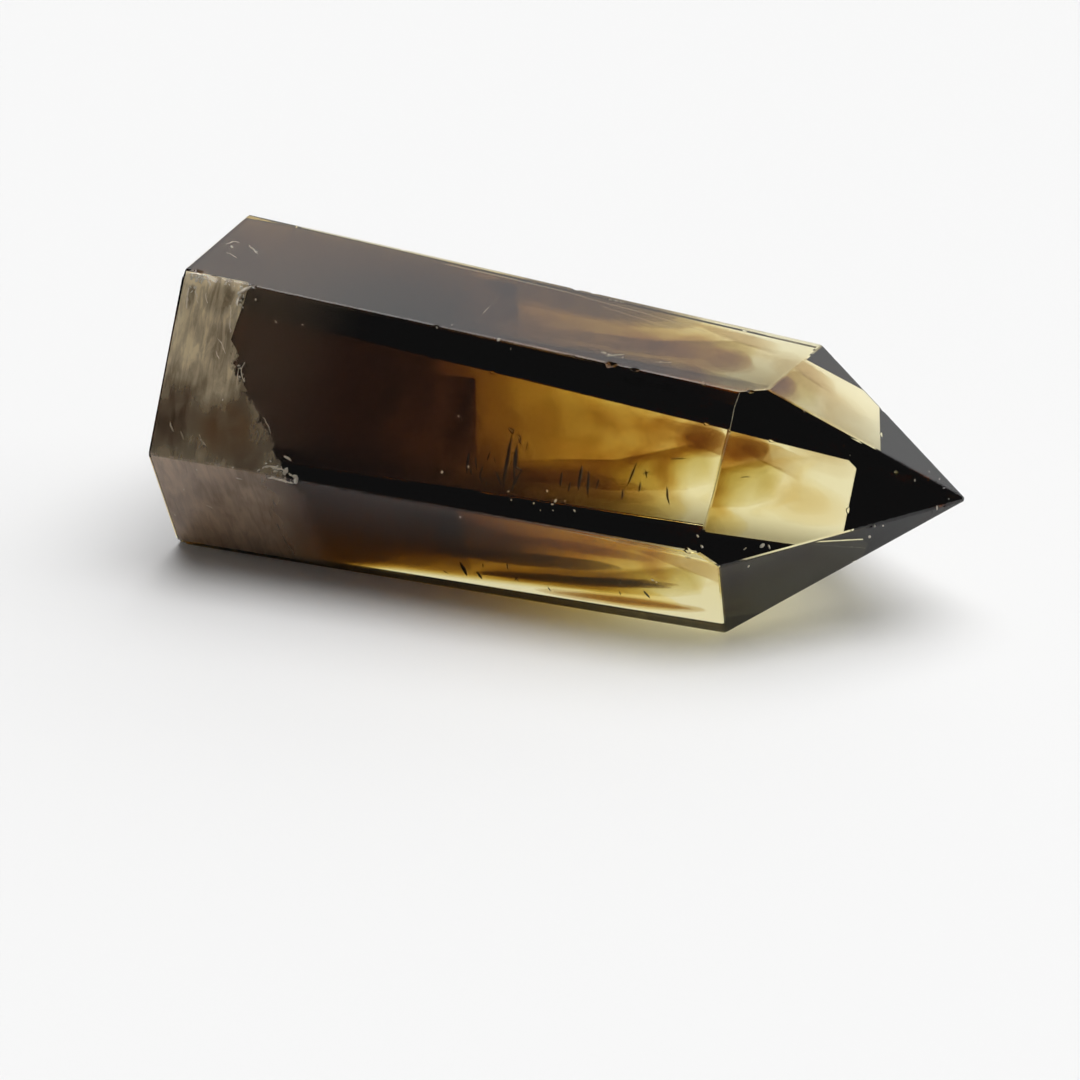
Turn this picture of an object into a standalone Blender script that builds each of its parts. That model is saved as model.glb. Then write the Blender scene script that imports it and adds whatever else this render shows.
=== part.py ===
"""Citrine crystal point, lying on one of its long facets.

The point is one piece of quartz. It is made here as a lapidary makes the real one: a rough
blank is ground flat facet by facet, with six long facets, six tip facets and a sawn base.
The arrises are then eased, and the chips and the bruised corner of the base are broken out.

Metres, +Z up. The long way of the crystal runs along X with the tip at +X, and the facet
that it lies on is at Z = 0. A place along the crystal is measured from the middle of its base.
"""
import math
import random

import bmesh
import bpy
from mathutils import Vector

MM = 0.001

# Size of the whole point
LENGTH = 92.0 * MM
BASE_HEIGHT = 16.4 * MM
TIP_OFFSET = 2.0 * MM
TIP_HEIGHT = 14.7 * MM

# The blank that the facets are ground from
BLANK_RADIUS = 34.0 * MM
BLANK_SPARE = 6.0 * MM
BLANK_SIDES = 12

# Long facets: turn about the crystal in degrees, 0 facing -Y and 90 facing up;
# lean towards the tip in degrees; reach from the middle of the base
LONG_FACETS = {
    "top": (88.9, 3.9, 17.7 * MM),
    "upper_front": (27.6, 1.7, 17.0 * MM),
    "lower_front": (-28.1, 0.2, 18.5 * MM),
    "upper_back": (146.6, 3.6, 16.8 * MM),
    "lower_back": (209.2, -1.2, 19.2 * MM),
}
# Tip facets: turn about the crystal, and lean. They all meet in the tip
TIP_FACETS = {
    "tip_top": (84.6, 36.5),
    "tip_upper_front": (24.1, 36.3),
    "tip_lower_front": (-32.9, 39.5),
    "tip_lower_back": (210.1, 38.7),
}
# Two more tip facets, each ground until it reaches a shoulder corner that is there already:
# turn about the crystal, and the three facets of that corner
CORNER_FACETS = {
    "tip_upper_back": (152.0, ("top", "upper_back", "tip_top")),
    "tip_under": (270.0, ("rest", "lower_front", "tip_lower_front")),
}
# The sawn base is a little out of square, in degrees
BASE_YAW = -0.2
BASE_PITCH = 1.4

# Corners of the ground crystal that are closer than this are one corner
SAME_CORNER = 0.001 * MM

# Polished arrises
ARRIS_WIDTH = 0.22 * MM
ARRIS_SEGMENTS = 2
ARRIS_MIN_ANGLE = 18.0

# Chips on the arrises: the two facets, the place from the base, the length along the arris,
# the depth into it
ARRIS_CHIPS = [
    ("top", "upper_back", 20.5, 1.1, 0.18),
    ("top", "upper_back", 42.6, 1.9, 0.42),
    ("top", "upper_back", 44.8, 1.4, 0.30),
    ("top", "upper_back", 61.0, 0.9, 0.15),
    ("top", "upper_front", 9.6, 1.6, 0.22),
    ("top", "upper_front", 32.2, 1.0, 0.24),
    ("top", "upper_front", 40.0, 0.8, 0.18),
    ("top", "upper_front", 49.0, 0.9, 0.16),
    ("top", "upper_front", 53.4, 3.4, 0.42),
    ("top", "upper_front", 56.4, 2.0, 0.34),
    ("top", "upper_front", 64.6, 0.8, 0.18),
    ("upper_front", "lower_front", 9.0, 1.8, 0.26),
    ("upper_front", "lower_front", 24.6, 1.0, 0.22),
    ("upper_front", "lower_front", 27.0, 0.8, 0.18),
    ("upper_front", "lower_front", 39.6, 0.7, 0.14),
    ("upper_front", "lower_front", 66.0, 1.5, 0.40),
    ("top", "tip_upper_front", 69.9, 1.6, 0.26),
    ("upper_front", "tip_upper_front", 68.4, 1.0, 0.16),
    ("tip_top", "tip_upper_front", 75.2, 0.9, 0.16),
    ("tip_upper_front", "tip_lower_front", 83.0, 1.2, 0.20),
    ("tip_upper_front", "tip_lower_front", 89.9, 0.9, 0.18),
    ("tip_top", "tip_upper_front", 89.6, 0.8, 0.18),
    ("tip_top", "tip_upper_back", 74.6, 0.9, 0.16),
    ("tip_top", "tip_upper_back", 80.9, 1.3, 0.34),
    ("upper_back", "lower_back", 31.0, 1.4, 0.28),
    ("upper_back", "lower_back", 58.0, 1.0, 0.20),
    ("lower_back", "tip_lower_back", 69.4, 1.2, 0.24),
]
CHIP_SEED = 11
CHIP_ROUGHNESS = 0.16
# A chip's cutter: its width and its height as shares of half its length
CHIP_WIDTH_SHARE = 0.75
CHIP_HEIGHT_SHARE = 0.6

# The bruised corner of the base, between the top and the upper front facet, and the other
# broken corners: the two facets that meet there, then for each blow its place from the base,
# its shift round the crystal, and its radius
CORNER_BLOWS = [
    ("top", "upper_front", 0.0, 0.0, 1.75),
    ("top", "upper_front", 1.9, 0.5, 1.25),
    ("top", "upper_front", 4.4, -0.2, 0.90),
    ("top", "upper_front", 6.3, 0.3, 0.60),
    ("upper_front", "lower_front", 0.0, 0.0, 0.85),
    ("lower_front", "rest", -0.2, 0.0, 1.15),
    ("upper_back", "lower_back", 0.0, 0.0, 0.90),
]
BLOW_SINK = 0.42
# A blow's cutter: its half length and half height as shares of its radius
BLOW_LENGTH_SHARE = 1.25
BLOW_HEIGHT_SHARE = 0.9

CRYSTAL_COLOUR = (0.46, 0.30, 0.10, 1.0)
CRYSTAL_ROUGHNESS = 0.03
CRYSTAL_IOR = 1.544


def clear_scene():
    for obj in list(bpy.data.objects):
        bpy.data.objects.remove(obj, do_unlink=True)


def new_collection(name):
    group = bpy.data.collections.new(name)
    bpy.context.scene.collection.children.link(group)
    return group


def facet_normal(turn, lean):
    """Outward direction of a facet."""
    t = math.radians(turn)
    n = math.radians(lean)
    return Vector((math.sin(n), -math.cos(n) * math.cos(t), math.cos(n) * math.sin(t)))


def corner_of(planes, names):
    """The point where three facets meet."""
    (point_a, a), (point_b, b), (point_c, c) = (planes[name] for name in names)
    corner = b.cross(c) * a.dot(point_a) + c.cross(a) * b.dot(point_b) + a.cross(b) * c.dot(point_c)
    return corner / a.dot(b.cross(c))


def lean_through(turn, start, end):
    """The lean of a facet with this turn that holds the line from start to end."""
    t = math.radians(turn)
    run = end - start
    return math.degrees(math.atan2(math.cos(t) * run.y - math.sin(t) * run.z, run.x))


def facet_planes():
    """Each facet as a point on it and its outward direction."""
    middle = Vector((0.0, 0.0, BASE_HEIGHT))
    tip = Vector((LENGTH, TIP_OFFSET, TIP_HEIGHT))
    planes = {"rest": (Vector((0.0, 0.0, 0.0)), Vector((0.0, 0.0, -1.0)))}
    for name, (turn, lean, reach) in LONG_FACETS.items():
        outward = facet_normal(turn, 0.0)
        planes[name] = (middle + outward * reach, facet_normal(turn, lean))
    for name, (turn, lean) in TIP_FACETS.items():
        planes[name] = (tip, facet_normal(turn, lean))
    for name, (turn, corner) in CORNER_FACETS.items():
        lean = lean_through(turn, corner_of(planes, corner), tip)
        planes[name] = (tip, facet_normal(turn, lean))
    out = Vector((-1.0, math.tan(math.radians(BASE_YAW)), math.tan(math.radians(BASE_PITCH))))
    planes["base"] = (middle, out.normalized())
    return planes


def arris_point(planes, first, second, along):
    """The point of the arris between two facets at a place along the crystal, and its direction."""
    point_a, normal_a = planes[first]
    point_b, normal_b = planes[second]
    direction = normal_a.cross(normal_b).normalized()
    # Point on both planes: solve in the plane square to the arris
    offset_a = normal_a.dot(point_a)
    offset_b = normal_b.dot(point_b)
    cosine = normal_a.dot(normal_b)
    share_a = (offset_a - offset_b * cosine) / (1.0 - cosine * cosine)
    share_b = (offset_b - offset_a * cosine) / (1.0 - cosine * cosine)
    start = normal_a * share_a + normal_b * share_b
    travel = (along - start.x) / direction.x
    return start + direction * travel, direction


def rough_blank():
    """The blank: a drum laid along X, longer and wider than the crystal."""
    bm = bmesh.new()
    depth = LENGTH + 2.0 * BLANK_SPARE
    bmesh.ops.create_cone(bm, cap_ends=True, segments=BLANK_SIDES, radius1=BLANK_RADIUS,
                          radius2=BLANK_RADIUS, depth=depth)
    for v in bm.verts:
        x, y, z = v.co
        v.co = Vector((z + 0.5 * LENGTH, y, -x + BASE_HEIGHT))
    bmesh.ops.recalc_face_normals(bm, faces=bm.faces)
    return bm


def grind(bm, point, outward):
    """Take off all that stands outside one facet and close the blank with the flat facet."""
    geometry = bm.verts[:] + bm.edges[:] + bm.faces[:]
    cut = bmesh.ops.bisect_plane(bm, geom=geometry, plane_co=point, plane_no=outward, clear_outer=True)
    rim = [e for e in cut["geom_cut"] if isinstance(e, bmesh.types.BMEdge)]
    if rim:
        bmesh.ops.contextual_create(bm, geom=rim)


def crystal_material():
    material = bpy.data.materials.new("citrine")
    material.use_nodes = True
    shader = material.node_tree.nodes["Principled BSDF"]
    shader.inputs["Base Color"].default_value = CRYSTAL_COLOUR
    shader.inputs["Roughness"].default_value = CRYSTAL_ROUGHNESS
    shader.inputs["Metallic"].default_value = 0.0
    shader.inputs["IOR"].default_value = CRYSTAL_IOR
    shader.inputs["Transmission Weight"].default_value = 1.0
    return material


def object_from(bm, name, group):
    mesh = bpy.data.meshes.new(name)
    bm.to_mesh(mesh)
    bm.free()
    obj = bpy.data.objects.new(name, mesh)
    group.objects.link(obj)
    return obj


def ground_crystal(planes, group):
    """The faceted crystal with its eased arrises."""
    bm = rough_blank()
    for point, outward in planes.values():
        grind(bm, point, outward)
    bmesh.ops.remove_doubles(bm, verts=bm.verts, dist=SAME_CORNER)
    bmesh.ops.recalc_face_normals(bm, faces=bm.faces)
    crystal = object_from(bm, "crystal_point", group)
    crystal.data.materials.append(crystal_material())
    arris = crystal.modifiers.new("eased arrises", "BEVEL")
    arris.width = ARRIS_WIDTH
    arris.segments = ARRIS_SEGMENTS
    arris.limit_method = "ANGLE"
    arris.angle_limit = math.radians(ARRIS_MIN_ANGLE)
    return crystal


def flake(bm, centre, along, outward, length, width, height, rng):
    """A rough rounded cutter: a small ball drawn out along the arris, with uneven corners."""
    made = bmesh.ops.create_icosphere(bm, subdivisions=2, radius=1.0)
    side = outward.cross(along).normalized()
    for v in made["verts"]:
        grow = 1.0 + rng.uniform(-CHIP_ROUGHNESS, CHIP_ROUGHNESS)
        local = v.co * grow
        v.co = centre + along * (local.x * length) + side * (local.y * width) + outward * (local.z * height)


def arris_cutter(planes, group):
    """All the small arris chips in one cutter. A chip is shallow: its cutter mostly stands outside."""
    rng = random.Random(CHIP_SEED)
    bm = bmesh.new()
    for first, second, along_mm, length_mm, depth_mm in ARRIS_CHIPS:
        point, direction = arris_point(planes, first, second, along_mm * MM)
        outward = (planes[first][1] + planes[second][1]).normalized()
        half = 0.5 * length_mm * MM
        # A scoop about as tall as it is long, sunk by the chip's depth
        height = CHIP_HEIGHT_SHARE * half + depth_mm * MM
        centre = point + outward * (height - depth_mm * MM)
        flake(bm, centre, direction, outward, half, CHIP_WIDTH_SHARE * half, height, rng)
    return object_from(bm, "arris_chips", group)


def corner_cutters(planes, group):
    """One cutter for each blow on a corner, since their scoops overlap."""
    rng = random.Random(CHIP_SEED + 1)
    cutters = []
    for index, (first, second, along_mm, shift_mm, radius_mm) in enumerate(CORNER_BLOWS):
        bm = bmesh.new()
        point, direction = arris_point(planes, first, second, along_mm * MM)
        outward = (planes[first][1] + planes[second][1]).normalized()
        side = outward.cross(direction).normalized()
        radius = radius_mm * MM
        centre = point + outward * (radius * BLOW_SINK) + side * (shift_mm * MM)
        long = BLOW_LENGTH_SHARE * radius
        flake(bm, centre, direction, outward, long, radius, BLOW_HEIGHT_SHARE * radius, rng)
        cutters.append(object_from(bm, f"corner_blow_{index + 1}", group))
    return cutters


def break_out(crystal, cutter):
    """Subtract a cutter from the crystal."""
    cutter.hide_render = True
    cutter.display_type = "WIRE"
    cut = crystal.modifiers.new(cutter.name, "BOOLEAN")
    cut.operation = "DIFFERENCE"
    cut.solver = "EXACT"
    cut.object = cutter


def centre_on_footprint(crystal, others):
    """Set the crystal down with the middle of its footprint at the origin, cutters with it."""
    bpy.context.view_layer.update()
    shaped = crystal.evaluated_get(bpy.context.evaluated_depsgraph_get())
    mesh = shaped.to_mesh()
    xs = [v.co.x for v in mesh.vertices]
    ys = [v.co.y for v in mesh.vertices]
    zs = [v.co.z for v in mesh.vertices]
    shift = Vector((-(min(xs) + max(xs)) / 2.0, -(min(ys) + max(ys)) / 2.0, -min(zs)))
    shaped.to_mesh_clear()
    for obj in [crystal] + others:
        obj.location = shift
    bpy.context.view_layer.update()


def main():
    clear_scene()
    parts = new_collection("citrine crystal point")
    tools = new_collection("cutters")
    planes = facet_planes()
    crystal = ground_crystal(planes, parts)
    cutters = [arris_cutter(planes, tools)] + corner_cutters(planes, tools)
    for cutter in cutters:
        break_out(crystal, cutter)
    centre_on_footprint(crystal, cutters)


main()
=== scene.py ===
"""Looks of the citrine crystal point: clear quartz, smoky at its base and yellow towards the tip."""
import math
import random

import bmesh
import bpy
from mathutils import Matrix, Vector


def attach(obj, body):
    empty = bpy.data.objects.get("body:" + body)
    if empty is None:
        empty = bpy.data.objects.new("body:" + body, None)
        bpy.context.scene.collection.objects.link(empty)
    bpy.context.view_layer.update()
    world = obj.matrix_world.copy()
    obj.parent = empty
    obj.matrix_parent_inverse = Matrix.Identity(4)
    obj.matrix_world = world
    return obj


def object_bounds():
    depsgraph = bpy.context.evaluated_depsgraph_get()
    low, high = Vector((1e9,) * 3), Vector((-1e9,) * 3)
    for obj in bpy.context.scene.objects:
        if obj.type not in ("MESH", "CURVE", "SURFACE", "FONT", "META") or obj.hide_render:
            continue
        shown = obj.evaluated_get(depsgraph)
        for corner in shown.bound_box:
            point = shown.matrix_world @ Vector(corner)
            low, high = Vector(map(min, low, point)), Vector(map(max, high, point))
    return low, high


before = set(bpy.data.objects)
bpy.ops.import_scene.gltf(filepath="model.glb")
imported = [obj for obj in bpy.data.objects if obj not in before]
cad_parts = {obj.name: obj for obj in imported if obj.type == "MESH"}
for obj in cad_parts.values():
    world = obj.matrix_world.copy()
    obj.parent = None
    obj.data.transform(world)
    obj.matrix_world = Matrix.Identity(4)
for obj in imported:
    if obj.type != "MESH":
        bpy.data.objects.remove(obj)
cad_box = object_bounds()

MM = 0.001
# Where the foot of the middle of the sawn base stands in the frame; places are given from it
BASE_FOOT = Vector((-45.596, -0.526, 0.0)) * MM

# Camera of the photograph
CAMERA_TURN = 21.721
CAMERA_HEIGHT = 24.649
CAMERA_ROLL = -0.192
CAMERA_REACH = 601.859 * MM
CAMERA_AIM = BASE_FOOT + Vector((40.781, 0.0, 2.023)) * MM
FIELD_OF_VIEW = 12.0

QUARTZ_IOR = 1.544
# How often light turns at the facets, and how many skins of smoke it crosses on its way
LIGHT_BOUNCES = 14
SMOKE_CROSSINGS = 160
# How much red, green and blue the clear stone takes out, per metre
QUARTZ_TAKEN = (3.2, 6.2, 24.0)


class Wires:
    """Shorthand for building a material's node tree."""

    def __init__(self, tree):
        self.tree = tree
        tree.nodes.clear()

    def node(self, kind, **settings):
        made = self.tree.nodes.new(kind)
        for name, value in settings.items():
            setattr(made, name, value)
        return made

    def plug(self, source, target):
        """Set a plain value on a socket, or link another socket to it."""
        if isinstance(source, (int, float, tuple, Vector)):
            target.default_value = source
        else:
            self.tree.links.new(source, target)

    def math(self, operation, first, second=None, third=None, clamp=False):
        made = self.node("ShaderNodeMath", operation=operation, use_clamp=clamp)
        for value, socket in zip((first, second, third), made.inputs):
            if value is not None:
                self.plug(value, socket)
        return made.outputs[0]

    def vector(self, operation, first, second=None):
        made = self.node("ShaderNodeVectorMath", operation=operation)
        self.plug(first, made.inputs[0])
        if second is not None:
            self.plug(second, made.inputs[1])
        return made.outputs["Value" if operation in ("DOT_PRODUCT", "LENGTH") else "Vector"]

    def parts(self, source):
        """The three numbers of a vector."""
        made = self.node("ShaderNodeSeparateXYZ")
        self.plug(source, made.inputs[0])
        return made.outputs

    def span(self, value, low, high, to_low=0.0, to_high=1.0):
        """A soft step from one number at low to another at high."""
        made = self.node("ShaderNodeMapRange", clamp=True)
        made.interpolation_type = "SMOOTHSTEP"
        self.plug(value, made.inputs["Value"])
        ends = {"From Min": low, "From Max": high, "To Min": to_low, "To Max": to_high}
        for name, number in ends.items():
            self.plug(number, made.inputs[name])
        return made.outputs["Result"]


class Plan(Wires):
    """Shorthand for a geometry tree, on top of the one for materials."""

    def scaled(self, first, amount):
        made = self.node("ShaderNodeVectorMath", operation="SCALE")
        self.plug(first, made.inputs[0])
        self.plug(amount, made.inputs["Scale"])
        return made.outputs["Vector"]

    def choose(self, node, wanted):
        """Set a node's mode, which newer versions keep in a socket."""
        if "Mode" in node.inputs:
            node.inputs["Mode"].default_value = wanted
        else:
            node.mode = wanted.upper()

    def spot(self):
        return self.node("GeometryNodeInputPosition").outputs[0]

    def place(self):
        """Where a point lies from the foot of the base, in millimetres."""
        return self.scaled(self.vector("SUBTRACT", self.spot(), tuple(BASE_FOOT)), 1.0 / MM)

    def slow_noise(self, place, seed, detail, distortion=0.0):
        made = self.node("ShaderNodeTexNoise", noise_dimensions="4D")
        self.plug(place, made.inputs["Vector"])
        self.plug(seed, made.inputs["W"])
        made.inputs["Scale"].default_value = 1.0
        made.inputs["Detail"].default_value = detail
        made.inputs["Distortion"].default_value = distortion
        return made.outputs

    def push(self, amount, grain, seed):
        """A push in all directions from slow noise, in metres."""
        noise = self.slow_noise(self.scaled(self.spot(), grain), seed, 2.0)
        centred = self.vector("SUBTRACT", noise["Color"], (0.5, 0.5, 0.5))
        return self.scaled(centred, amount)

    def moved(self, shape, offset):
        made = self.node("GeometryNodeSetPosition")
        self.plug(shape, made.inputs["Geometry"])
        self.plug(offset, made.inputs["Offset"])
        return made.outputs[0]

    def skin(self, field, corners, cells, level, looseness):
        """The closed skin where a field inside a box passes a level."""
        cube = self.node("GeometryNodeVolumeCube")
        self.plug(field, cube.inputs["Density"])
        for name, corner in zip(("Min", "Max"), corners):
            cube.inputs[name].default_value = corner
        for name, count in zip(("Resolution X", "Resolution Y", "Resolution Z"), cells):
            cube.inputs[name].default_value = count
        made = self.node("GeometryNodeVolumeToMesh")
        self.plug(cube.outputs[0], made.inputs["Volume"])
        self.plug(level, made.inputs["Threshold"])
        made.inputs["Adaptivity"].default_value = looseness
        return made.outputs[0]

    def girth(self):
        """The girth that the start lines keep at each of their points."""
        made = self.node("GeometryNodeInputNamedAttribute", data_type="FLOAT")
        made.inputs["Name"].default_value = "girth"
        return made.outputs["Attribute"]

    def finish(self, shape, material):
        real = self.node("GeometryNodeRealizeInstances")
        self.plug(shape, real.inputs[0])
        coat = self.node("GeometryNodeSetMaterial")
        self.plug(real.outputs[0], coat.inputs["Geometry"])
        self.plug(material, coat.inputs["Material"])
        out = self.node("NodeGroupOutput")
        self.plug(coat.outputs[0], out.inputs["Geometry"])


def at(place):
    """A place in millimetres from the foot of the base, in the frame."""
    return BASE_FOOT + Vector(place) * MM


def compass(turn, height):
    """Direction at a turn from +Y towards +X, and at a height above level, in degrees."""
    t = math.radians(turn)
    h = math.radians(height)
    return Vector((math.sin(t) * math.cos(h), math.cos(t) * math.cos(h), math.sin(h)))


def cosines(edges):
    return [math.cos(math.radians(edge)) for edge in edges]


def sines(edges):
    return [math.sin(math.radians(edge)) for edge in edges]


ROOM = 0.13
# Low in the west the room is darker. Round and high tell, in degrees, how far that reaches: first
# where it is gone, then where it is full
WEST_TURN = -96.0
WEST_ROUND = (60.0, 48.0)
WEST_HIGH = (40.0, 28.0)
WEST_ROOM = 0.03
# Wide window light behind the crystal, dimmer at its west end than at its east end
WINDOW_TURN = 20.0
WINDOW_ROUND = (62.0, 52.0)
WINDOW_HIGH = (42.0, 34.0)
WINDOW_ENDS = (-0.34, 0.42)
WINDOW_WEST = 0.95
WINDOW_EAST = 1.65
# Overhead light: a round soft box above and a little behind the crystal
CEILING = 4.4
CEILING_TURN = 10.0
CEILING_HEIGHT = 76.0
CEILING_EDGE = (36.0, 27.0)
# The pale backdrop that the camera sees, and the floor
BACKDROP = 0.98
FLOOR_RADIUS = 3.0
FLOOR_DROP = 0.02 * MM
FLOOR_COLOUR = (0.80, 0.80, 0.80, 1.0)


def studio_light():
    world = bpy.data.worlds.new("studio")
    bpy.context.scene.world = world
    world.use_nodes = True
    w = Wires(world.node_tree)
    way = w.node("ShaderNodeTexCoord").outputs["Generated"]
    up = w.parts(way)["Z"]
    level = w.vector("NORMALIZE", w.vector("MULTIPLY", way, (1.0, 1.0, 0.0)))
    facing = w.vector("DOT_PRODUCT", level, tuple(compass(WINDOW_TURN, 0.0)))
    side = w.span(facing, *cosines(WINDOW_ROUND))
    band = w.span(up, *sines(WINDOW_HIGH))
    glow = w.span(w.parts(level)["X"], *WINDOW_ENDS, WINDOW_WEST, WINDOW_EAST)
    window = w.math("MULTIPLY", w.math("MULTIPLY", side, band), glow)
    overhead = w.vector("DOT_PRODUCT", way, tuple(compass(CEILING_TURN, CEILING_HEIGHT)))
    ceiling = w.span(overhead, *cosines(CEILING_EDGE))
    strength = w.math("ADD", window, w.math("MULTIPLY", ceiling, CEILING))
    west = w.vector("DOT_PRODUCT", level, tuple(compass(WEST_TURN, 0.0)))
    west = w.span(west, *cosines(WEST_ROUND))
    west = w.math("MULTIPLY", west, w.span(up, *sines(WEST_HIGH)))
    strength = w.math("ADD", strength, w.math("MULTIPLY_ADD", west, WEST_ROOM - ROOM, ROOM))
    seen = w.node("ShaderNodeLightPath").outputs["Is Camera Ray"]
    plain = w.math("MULTIPLY", seen, BACKDROP)
    rest = w.math("MULTIPLY", strength, w.math("SUBTRACT", 1.0, seen))
    shade = w.node("ShaderNodeBackground")
    w.plug(w.math("ADD", plain, rest), shade.inputs["Strength"])
    out = w.node("ShaderNodeOutputWorld")
    w.plug(shade.outputs[0], out.inputs["Surface"])


def plain_floor():
    bpy.ops.mesh.primitive_circle_add(
        vertices=96, radius=FLOOR_RADIUS, fill_type="NGON", location=(0, 0, -FLOOR_DROP),
    )
    floor = bpy.context.object
    floor.name = "studio_floor"
    material = bpy.data.materials.new("pale floor")
    material.use_nodes = True
    shader = material.node_tree.nodes["Principled BSDF"]
    shader.inputs["Base Color"].default_value = FLOOR_COLOUR
    shader.inputs["Roughness"].default_value = 0.9
    shader.inputs["Specular IOR Level"].default_value = 0.1
    floor.data.materials.append(material)


def photo_camera():
    a = math.radians(CAMERA_TURN)
    e = math.radians(CAMERA_HEIGHT)
    r = math.radians(CAMERA_ROLL)
    back = Vector((math.sin(a) * math.cos(e), -math.cos(a) * math.cos(e), math.sin(e)))
    right = Vector((math.cos(a), math.sin(a), 0.0))
    up = back.cross(right)
    across = right * math.cos(r) + up * math.sin(r)
    upright = up * math.cos(r) - right * math.sin(r)
    camera = bpy.data.objects.new("photo_camera", bpy.data.cameras.new("photo_camera"))
    bpy.context.scene.collection.objects.link(camera)
    place = CAMERA_AIM + back * CAMERA_REACH
    turned = Matrix((across, upright, back)).transposed().to_4x4()
    camera.matrix_world = Matrix.Translation(place) @ turned
    camera.data.angle = math.radians(FIELD_OF_VIEW)
    camera.data.clip_start = 0.01
    camera.data.clip_end = 20.0
    bpy.context.scene.camera = camera


def absorb(w, rate):
    """Plain absorption that takes out a rate of red, green and blue, per metre."""
    density = max(rate)
    made = w.node("ShaderNodeVolumeAbsorption")
    made.inputs["Color"].default_value = tuple(1.0 - v / density for v in rate) + (1.0,)
    made.inputs["Density"].default_value = density
    return made.outputs[0]


def clear_quartz():
    material = bpy.data.materials.new("clear_quartz")
    material.use_nodes = True
    w = Wires(material.node_tree)
    shader = w.node("ShaderNodeBsdfPrincipled")
    shader.inputs["Base Color"].default_value = (1, 1, 1, 1)
    shader.inputs["Roughness"].default_value = 0.0
    shader.inputs["IOR"].default_value = QUARTZ_IOR
    shader.inputs["Transmission Weight"].default_value = 1.0
    out = w.node("ShaderNodeOutputMaterial")
    w.plug(shader.outputs[0], out.inputs["Surface"])
    w.plug(absorb(w, QUARTZ_TAKEN), out.inputs["Volume"])
    return material


# Facets that bound the smoke: outward direction, distance of the facet from the foot of the base,
# and the depths under the facet at which the smoke begins and is full
SMOKE_SIDES = {
    "top": ((0.0680, -0.0192, 0.9975), 34.02, 0.08, 0.6),
    "upper_front": ((0.0297, -0.8858, 0.4631), 24.59, 0.12, 1.2),
    "lower_front": ((0.0035, -0.8821, -0.4710), 10.78, 0.12, 1.2),
    "upper_back": ((0.0628, 0.8332, 0.5494), 25.78, 0.08, 0.6),
    "lower_back": ((-0.0209, 0.8727, -0.4878), 11.20, 0.10, 1.2),
    "base": ((-0.9997, -0.0035, 0.0244), 0.40, 0.07, 0.45),
    "rest": ((0.0, 0.0, -1.0), 0.0, 0.06, 0.40),
}
# Under the smoke, along the resting facet, lies a clear rim: where it starts, and how it rises
RIM_START = 15.0
RIM_END = 24.0
RIM_NONE = -1.4
RIM_HEIGHT = 0.95
RIM_RISE = 0.060
RIM_SOFT = 1.3
# Where the smoke ends towards the tip and how long it takes to get full. In a bank above the
# resting facet it ends sooner and steeper, and under the bank it stops short
SMOKE_END = 61.5
SMOKE_LENGTH = 38.0
BANK_HEIGHT = 8.5
BANK_SPREAD = 3.6
BANK_SHORTER = 0.5
BANK_STEEPER = 18.0
# The bank fades out towards the back between these places across the crystal
BANK_BACK = (1.5, 11.0)
UNDER_BANK = 4.5
UNDER_BANK_HEIGHTS = (3.5, 8.0)
# Slow noise that stirs the smoke's end, drawn out along the crystal: grain per millimetre, reach
SMOKE_GRAIN = (0.045, 0.09, 0.11)
SMOKE_STIR = 15.0
# Smoke zones from the outermost in: share of the way into the smoke, then how much red, green
# and blue each takes out, per millimetre
SMOKE_ZONES = [
    (0.05, (0.006, 0.0102, 0.026)),
    (0.20, (0.008, 0.0136, 0.034)),
    (0.36, (0.010, 0.0164, 0.036)),
    (0.52, (0.0135, 0.0195, 0.034)),
    (0.66, (0.019, 0.0245, 0.036)),
    (0.80, (0.027, 0.0330, 0.040)),
    (0.92, (0.038, 0.0430, 0.050)),
]
SMOKE_CELLS = (150, 70, 60)

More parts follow.
